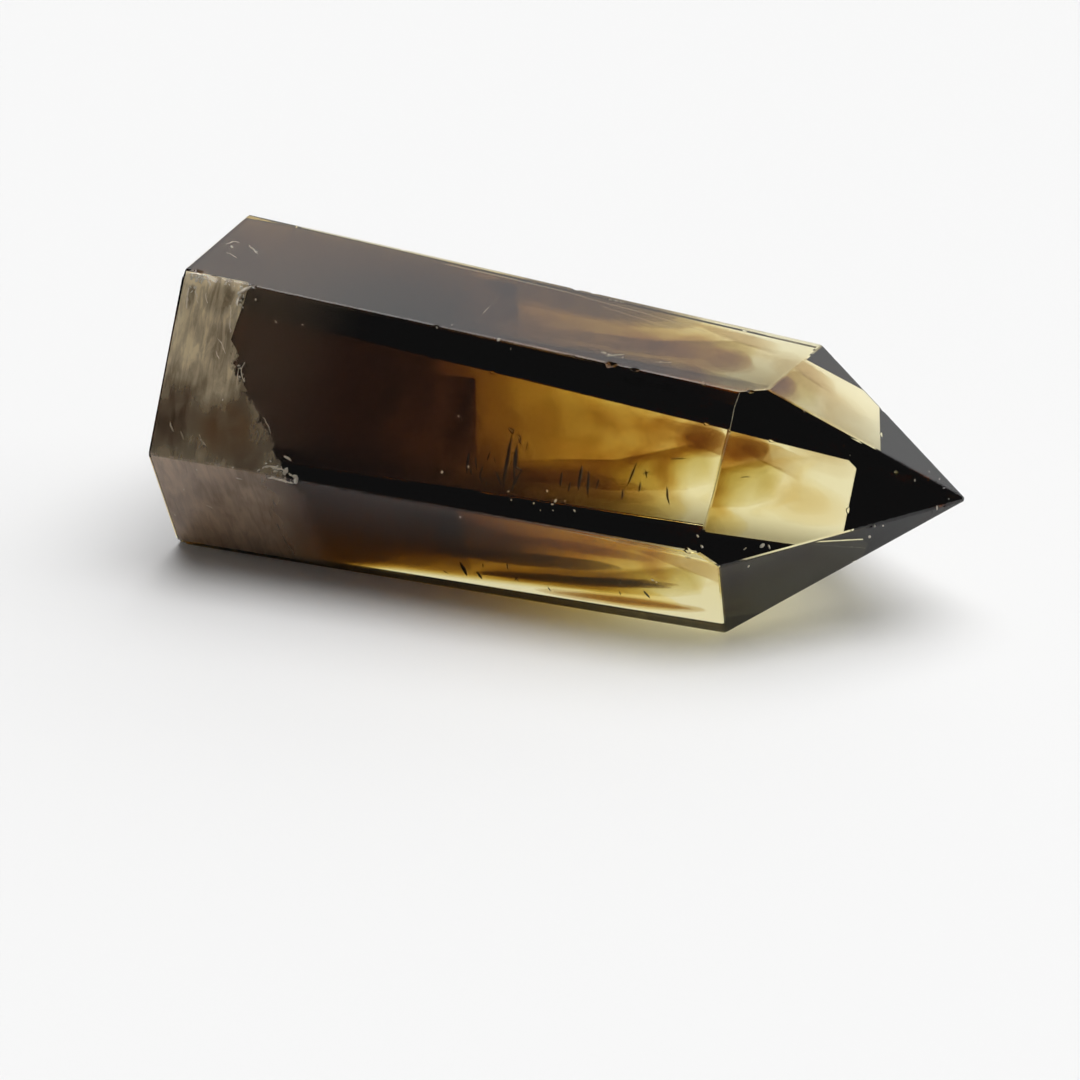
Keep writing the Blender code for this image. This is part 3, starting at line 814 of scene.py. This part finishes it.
def brush_strokes():
    tree = stroke_plan()
    for number, (level, taken) in enumerate(STROKE_LEVELS, start=1):
        name = f"brush_strokes_{number}"
        settings = {"Level": level, "Seed": 3.3, "Finish": smoke_and_shade_finish(name, taken)}
        grown(name, tree, settings)


def lines_mesh(name, lines):
    """Edges along each line of places, with a girth kept at every point."""
    mesh = bpy.data.meshes.new(name)
    points = []
    edges = []
    girths = []
    for places, girth in lines:
        for step, place in enumerate(places):
            if step:
                edges.append((len(points) - 1, len(points)))
            points.append(at(place))
            girths.append(girth * MM)
    mesh.from_pydata(points, edges, [])
    kept = mesh.attributes.new("girth", "FLOAT", "POINT")
    for number, girth in enumerate(girths):
        kept.data[number].value = girth
    return mesh


def thread_plan(name, ends):
    """Threads along the start lines: pointed where ends is 0, blunt where it is 1."""
    tree = tree_with(name, ("Step", "Float"), ("Bend", "Float"), ("Seed", "Float"), ("Finish", "Material"))
    g = Plan(tree)
    given = g.node("NodeGroupInput")
    bend = given.outputs["Bend"]
    seed = given.outputs["Seed"]
    curve = g.node("GeometryNodeMeshToCurve")
    g.plug(given.outputs["Geometry"], curve.inputs[0])
    even = g.node("GeometryNodeResampleCurve")
    g.choose(even, "Length")
    g.plug(curve.outputs[0], even.inputs["Curve"])
    g.plug(given.outputs["Step"], even.inputs["Length"])
    bent = g.moved(even.outputs[0], g.push(bend, 900.0, seed))
    along = g.node("GeometryNodeSplineParameter").outputs["Factor"]
    off_middle = g.math("ABSOLUTE", g.math("MULTIPLY_ADD", along, 2.0, -1.0))
    middle = g.math("SUBTRACT", 1.0, g.math("POWER", off_middle, 2.0))
    share = g.math("ADD", g.math("MULTIPLY", middle, 1.0 - ends), 0.12 + ends)
    radius = g.math("MULTIPLY", g.math("MULTIPLY", g.girth(), share), 0.5)
    wide = g.node("GeometryNodeSetCurveRadius")
    g.plug(bent, wide.inputs["Curve"])
    g.plug(radius, wide.inputs["Radius"])
    ring = g.node("GeometryNodeCurvePrimitiveCircle")
    ring.inputs["Resolution"].default_value = 6
    ring.inputs["Radius"].default_value = 1.0
    tube = g.node("GeometryNodeCurveToMesh")
    g.plug(wide.outputs[0], tube.inputs["Curve"])
    g.plug(ring.outputs[0], tube.inputs["Profile Curve"])
    if "Scale" in tube.inputs:
        g.plug(g.node("GeometryNodeInputRadius").outputs[0], tube.inputs["Scale"])
    tube.inputs["Fill Caps"].default_value = True
    rough = g.moved(tube.outputs[0], g.push(g.math("MULTIPLY", bend, 0.4), 3000.0, seed))
    g.finish(rough, given.outputs["Finish"])
    return tree


def plain_finish(name, colour, roughness):
    material = bpy.data.materials.new(name)
    material.use_nodes = True
    shader = material.node_tree.nodes["Principled BSDF"]
    shader.inputs["Base Color"].default_value = colour + (1.0,)
    shader.inputs["Roughness"].default_value = roughness
    return material


def needles():
    finish = plain_finish("dark_needle", (0.022, 0.012, 0.006), 0.55)
    settings = {"Step": 0.35 * MM, "Bend": 0.25 * MM, "Seed": 2.0, "Finish": finish}
    grown("needles", thread_plan("needles", 0.0), settings, lines_mesh("needle_lines", NEEDLES))


def fleck_plan():
    tree = tree_with("pale flecks", ("Seed", "Int"), ("Finish", "Material"))
    g = Plan(tree)
    given = g.node("NodeGroupInput")
    chip = g.node("GeometryNodeMeshIcoSphere")
    chip.inputs["Radius"].default_value = 0.5
    chip.inputs["Subdivisions"].default_value = 2
    lean = g.node("FunctionNodeRandomValue", data_type="FLOAT_VECTOR")
    g.plug((math.tau, math.tau, math.tau), lean.inputs["Max"])
    g.plug(given.outputs["Seed"], lean.inputs["Seed"])
    spread = g.node("GeometryNodeInstanceOnPoints")
    g.plug(given.outputs["Geometry"], spread.inputs["Points"])
    g.plug(chip.outputs[0], spread.inputs["Instance"])
    g.plug(lean.outputs[0], spread.inputs["Rotation"])
    size = g.node("ShaderNodeCombineXYZ")
    girth = g.girth()
    for share, socket in zip(FLECK_SHAPE, size.inputs):
        g.plug(g.math("MULTIPLY", girth, share), socket)
    g.plug(size.outputs[0], spread.inputs["Scale"])
    real = g.node("GeometryNodeRealizeInstances")
    g.plug(spread.outputs[0], real.inputs[0])
    rough = g.moved(real.outputs[0], g.push(0.16 * MM, 4200.0, 5.0))
    g.finish(rough, given.outputs["Finish"])
    return tree


def inner_front(z, depth):
    """The least y at a height that lies at a depth under the two front facets."""
    upper = (0.4631 * z - 24.59 + depth) / 0.8858
    lower = (-0.4710 * z - 10.78 + depth) / 0.8821
    return max(upper, lower)


def kept_under(place):
    """A shard's place, moved in where it would poke out of a facet."""
    place.y = max(place.y, inner_front(place.z, 0.45))
    place.z = min(place.z, (33.55 - 0.068 * place.x + 0.0192 * place.y) / 0.9975)
    place.y = min(place.y, (25.1 - 0.0628 * place.x - 0.5494 * place.z) / 0.8332)
    return tuple(place)


def flecks():
    finish = plain_finish("pale_fleck", (0.85, 0.80, 0.70), 0.35)
    lines = [((place,), width) for place, width in FLECKS]
    chance = random.Random(11)
    for first, last, number, spread, (small, large) in SHARD_STRETCHES:
        for _ in range(number):
            place = Vector(first).lerp(Vector(last), chance.random())
            place += Vector(chance.gauss(0.0, spread * 0.5) for _ in range(3))
            width = chance.uniform(small, large) * chance.uniform(0.6, 1.0)
            lines.append(((kept_under(place),), width))
    settings = {"Seed": 7, "Finish": finish}
    grown("flecks", fleck_plan(), settings, lines_mesh("fleck_points", lines))


def veil_plan():
    tree = tree_with(
        "base veil", ("Outward", "Vector"), ("Ripple", "Float"), ("Thickness", "Float"),
        ("Seed", "Float"), ("Finish", "Material"),
    )
    g = Plan(tree)
    given = g.node("NodeGroupInput")
    finer = g.node("GeometryNodeSubdivideMesh")
    g.plug(given.outputs["Geometry"], finer.inputs["Mesh"])
    finer.inputs["Level"].default_value = 3
    ripple = g.slow_noise(g.scaled(g.spot(), 420.0), given.outputs["Seed"], 3.0)[0]
    height = g.math("MULTIPLY", g.math("SUBTRACT", ripple, 0.5), given.outputs["Ripple"])
    rippled = g.moved(finer.outputs[0], g.scaled(given.outputs["Outward"], height))
    inner = g.node("GeometryNodeExtrudeMesh")
    g.plug(rippled, inner.inputs["Mesh"])
    g.plug(given.outputs["Outward"], inner.inputs["Offset"])
    g.plug(given.outputs["Thickness"], inner.inputs["Offset Scale"])
    inner.inputs["Individual"].default_value = False
    back = g.node("GeometryNodeFlipFaces")
    g.plug(rippled, back.inputs["Mesh"])
    both = g.node("GeometryNodeJoinGeometry")
    g.plug(inner.outputs["Mesh"], both.inputs[0])
    g.plug(back.outputs[0], both.inputs[0])
    weld = g.node("GeometryNodeMergeByDistance")
    g.plug(both.outputs[0], weld.inputs["Geometry"])
    weld.inputs["Distance"].default_value = 0.001 * MM
    g.finish(weld.outputs[0], given.outputs["Finish"])
    return tree


def veil_mesh(name, rows, outward, depth, columns):
    """A strip between the base and the veil's edge, under its facet, facing outward."""
    mesh = bpy.data.meshes.new(name)
    inward = -outward * depth
    points = []
    for inner, outer in rows:
        for step in range(columns + 1):
            share = step / columns
            points.append(at(Vector(inner).lerp(Vector(outer), share) + inward))
    faces = []
    wide = columns + 1
    for row in range(len(rows) - 1):
        for step in range(columns):
            a = row * wide + step
            faces.append((a, a + wide, a + wide + 1, a + 1))
    mesh.from_pydata(points, [], faces)
    return mesh


def soft_spot(w, place, middle, half):
    """1 in the middle of a soft spot and 0 outside it."""
    away = w.vector("DIVIDE", w.vector("SUBTRACT", place, middle), half)
    return w.span(w.vector("LENGTH", away), 0.35, 1.0, 1.0, 0.0)


def soft_noise(w, place, stretch, detail, roughness=0.5, distortion=0.0):
    made = w.node("ShaderNodeTexNoise")
    w.plug(w.vector("MULTIPLY", place, stretch), made.inputs["Vector"])
    settings = {"Scale": 1.0, "Detail": detail, "Roughness": roughness, "Distortion": distortion}
    for name, value in settings.items():
        made.inputs[name].default_value = value
    return made.outputs[0]


def blend(w, share, first, second):
    made = w.node("ShaderNodeMix", data_type="RGBA")
    w.plug(share, made.inputs["Factor"])
    sockets = [s for s in made.inputs if s.type == "RGBA"]
    for value, socket in zip((first, second), sockets):
        w.plug(value + (1.0,) if isinstance(value, tuple) else value, socket)
    return [s for s in made.outputs if s.type == "RGBA"][0]


def veil_shade(w, spot, cloud, streak, grain, tall):
    """From 0, the dark colour, to 1, the pale one, and how much thicker the soft spots make it."""
    shade = w.math("ADD", w.span(cloud, 0.36, 0.64, 0.16, 0.50), w.math("MULTIPLY", tall, 0.58))
    fine = w.span(streak, 0.35, 0.68, -0.22, 0.22)
    fine = w.math("MULTIPLY", fine, w.math("MULTIPLY_ADD", tall, 0.75, 0.25))
    shade = w.math("ADD", shade, fine)
    shade = w.math("ADD", shade, w.span(grain, 0.35, 0.65, -0.07, 0.07))
    thicker = 0.0
    for middle, half, lift in VEIL_SPOTS_AND_SHADE:
        near = soft_spot(w, spot, middle, half)
        shade = w.math("MULTIPLY_ADD", near, lift, shade)
        thicker = w.math("MULTIPLY_ADD", near, lift * 0.35, thicker)
    return w.math("MINIMUM", w.math("MAXIMUM", shade, 0.0), 1.0), thicker


def past_rim(w, x, z, grain, beyond, ragged):
    """How far a place lies past the veil's leaning, ragged rim."""
    drop = w.math("MAXIMUM", w.math("SUBTRACT", RIM_TURN, z), 0.0)
    rim = w.math("MULTIPLY_ADD", drop, RIM_LEAN, RIM_PLACE)
    past = w.math("SUBTRACT", w.math("SUBTRACT", x, rim), beyond)
    return w.math("ADD", past, w.math("MULTIPLY", w.math("SUBTRACT", grain, 0.5), ragged))


def veil_finish(name):
    """Milky film, paler and thicker above the step, with streaks and soft spots; the paler top is partly
    painted light from above, and one spot is painted shade.
    """
    kind = VEIL_KINDS[name]
    material = bpy.data.materials.new(name)
    material.use_nodes = True
    w = Wires(material.node_tree)
    spot = w.vector("SUBTRACT", w.node("ShaderNodeTexCoord").outputs["Object"], tuple(BASE_FOOT))
    spot = w.vector("MULTIPLY", spot, (1 / MM, 1 / MM, 1 / MM))
    x, y, z = w.parts(spot)
    streak = soft_noise(w, spot, (1.15, 0.22, 0.22), 5.0, 0.60, 0.7)
    cloud = soft_noise(w, spot, (0.16, 0.13, 0.13), 3.0)
    grain = soft_noise(w, spot, (0.9, 0.6, 0.6), 4.0, 0.6)
    # Paler above the step: partly the veil's own milky top, partly painted light falling from above
    tall = w.span(w.math("MULTIPLY_ADD", cloud, 5.0, z), *VEIL_STEP)
    shade, thicker = veil_shade(w, spot, cloud, streak, grain, tall)
    colour = blend(w, shade, kind["dark"], kind["pale"])
    reddish = w.math("MULTIPLY", soft_spot(w, spot, *RUST_SPOT), w.span(grain, 0.40, 0.58, 0.35, 0.85))
    colour = blend(w, reddish, colour, kind["rust"])
    cover_low, cover_high = kind["cover"]
    cover = w.math("MULTIPLY_ADD", tall, cover_high - cover_low, cover_low)
    cover = w.math("MULTIPLY", cover, w.span(streak, 0.34, 0.62, 0.86, 1.10))
    cover = w.math("ADD", cover, thicker)
    past = past_rim(w, x, z, grain, kind["beyond"], kind["ragged"])
    cover = w.math("MULTIPLY", cover, w.span(past, -0.5, 0.1, 1.0, 0.0))
    cover = w.math("MULTIPLY", cover, w.span(x, *kind["fade"], 1.0, 0.0), clamp=True)
    shader = w.node("ShaderNodeBsdfPrincipled")
    w.plug(colour, shader.inputs["Base Color"])
    w.plug(cover, shader.inputs["Alpha"])
    shader.inputs["Roughness"].default_value = 0.6
    shader.inputs["IOR"].default_value = 1.0
    out = w.node("ShaderNodeOutputMaterial")
    w.plug(shader.outputs[0], out.inputs["Surface"])
    return material


def film(name, tree, rows, outward, depth, seed, finish):
    start = veil_mesh(name + "_start", rows, outward, depth, 6)
    settings = {
        "Outward": outward,
        "Ripple": VEIL_RIPPLE * MM,
        "Thickness": VEIL_THICKNESS * MM,
        "Seed": seed,
        "Finish": finish,
    }
    grown(name, tree, settings, start)


def base_veil():
    tree = veil_plan()
    film("veil_upper", tree, VEIL_TOP_EDGE, UPPER_FRONT, VEIL_DEPTH, 1.0, veil_finish("milky_veil"))
    film("veil_lower", tree, VEIL_LOW_EDGE, LOWER_FRONT, VEIL_DEPTH, 4.0, veil_finish("milky_veil_low"))
    film("veil_haze", tree, HAZE_EDGE, UPPER_FRONT, HAZE_DEPTH, 6.0, veil_finish("veil_haze"))
    film("top_haze", tree, TOP_HAZE_EDGE, TOP, HAZE_DEPTH, 8.0, veil_finish("top_haze"))


def ridges_and_painted_highlights():
    finish = plain_finish("veil_ridge", (0.95, 0.86, 0.72), 0.4)
    settings = {"Step": 0.30 * MM, "Bend": 0.9 * MM, "Seed": 3.0, "Finish": finish}
    grown("veil_ridge", thread_plan("veil ridge", 0.3), settings, lines_mesh("ridge_line", RIDGES))
    # Painted highlight: pale threads along the arrises stand in for their glints
    finish = plain_finish("painted_arris_highlight", (0.55, 0.50, 0.36), 0.4)
    settings = {"Step": 0.8 * MM, "Bend": 0.0, "Seed": 0.0, "Finish": finish}
    tree = thread_plan("painted arris highlight", 0.6)
    grown("painted_arris_highlight", tree, settings, lines_mesh("painted_arris_highlights", PAINTED_ARRIS_HIGHLIGHTS))


def sharp_smoke():
    """Slabs whose thickness differs from corner to corner, so that one border is sharp."""
    inward = -Vector(SMOKE_SIDES["lower_back"][0])
    for name, (ribs, taken) in SHARP_SMOKE.items():
        points = []
        for corners in ribs:
            points += [at(place) for place, thick in corners]
            points += [at(Vector(place) + inward * thick) for place, thick in reversed(corners)]
        faces = [(0, 1, 2, 3), tuple(range(len(points) - 1, len(points) - 5, -1))]
        for rib in range(0, len(points) - 4, 4):
            faces += [(rib + n, rib + 4 + n, rib + 4 + (n + 1) % 4, rib + (n + 1) % 4) for n in range(4)]
        mesh = bpy.data.meshes.new("sharp_" + name)
        mesh.from_pydata(points, [], faces)
        turned = bmesh.new()
        turned.from_mesh(mesh)
        bmesh.ops.recalc_face_normals(turned, faces=turned.faces)
        turned.to_mesh(mesh)
        turned.free()
        mesh.materials.append(smoke_and_shade_finish("sharp_" + name, taken))
        inside_stone(placed("sharp_" + name, mesh))


# Painted shade: a dark absorbing film over the resting facet stands in for the contact shadow seen through
# it
def painted_foot_shade():
    (x1, y1, z1), (x2, y2, z2) = PAINTED_FOOT_SHADE
    points = [at((x, y, z)) for x in (x1, x2) for y in (y1, y2) for z in (z1, z2)]
    faces = [(0, 1, 3, 2), (4, 6, 7, 5), (0, 4, 5, 1), (2, 3, 7, 6), (0, 2, 6, 4), (1, 5, 7, 3)]
    mesh = bpy.data.meshes.new("painted_foot_shade")
    mesh.from_pydata(points, [], faces)
    mesh.materials.append(smoke_and_shade_finish("painted_foot_shade", PAINTED_FOOT_SHADE_TAKEN))
    inside_stone(placed("painted_foot_shade", mesh))


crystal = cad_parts["crystal_point"]
crystal.material_slots[0].material = clear_quartz()

smoke()
wisps()
brush_strokes()
needles()
flecks()
base_veil()
ridges_and_painted_highlights()
painted_foot_shade()
sharp_smoke()
studio_light()
plain_floor()
photo_camera()

scene = bpy.context.scene
scene.view_settings.view_transform = "Standard"
scene.cycles.max_bounces = LIGHT_BOUNCES
scene.cycles.transmission_bounces = LIGHT_BOUNCES
scene.cycles.glossy_bounces = LIGHT_BOUNCES
scene.cycles.transparent_max_bounces = SMOKE_CROSSINGS
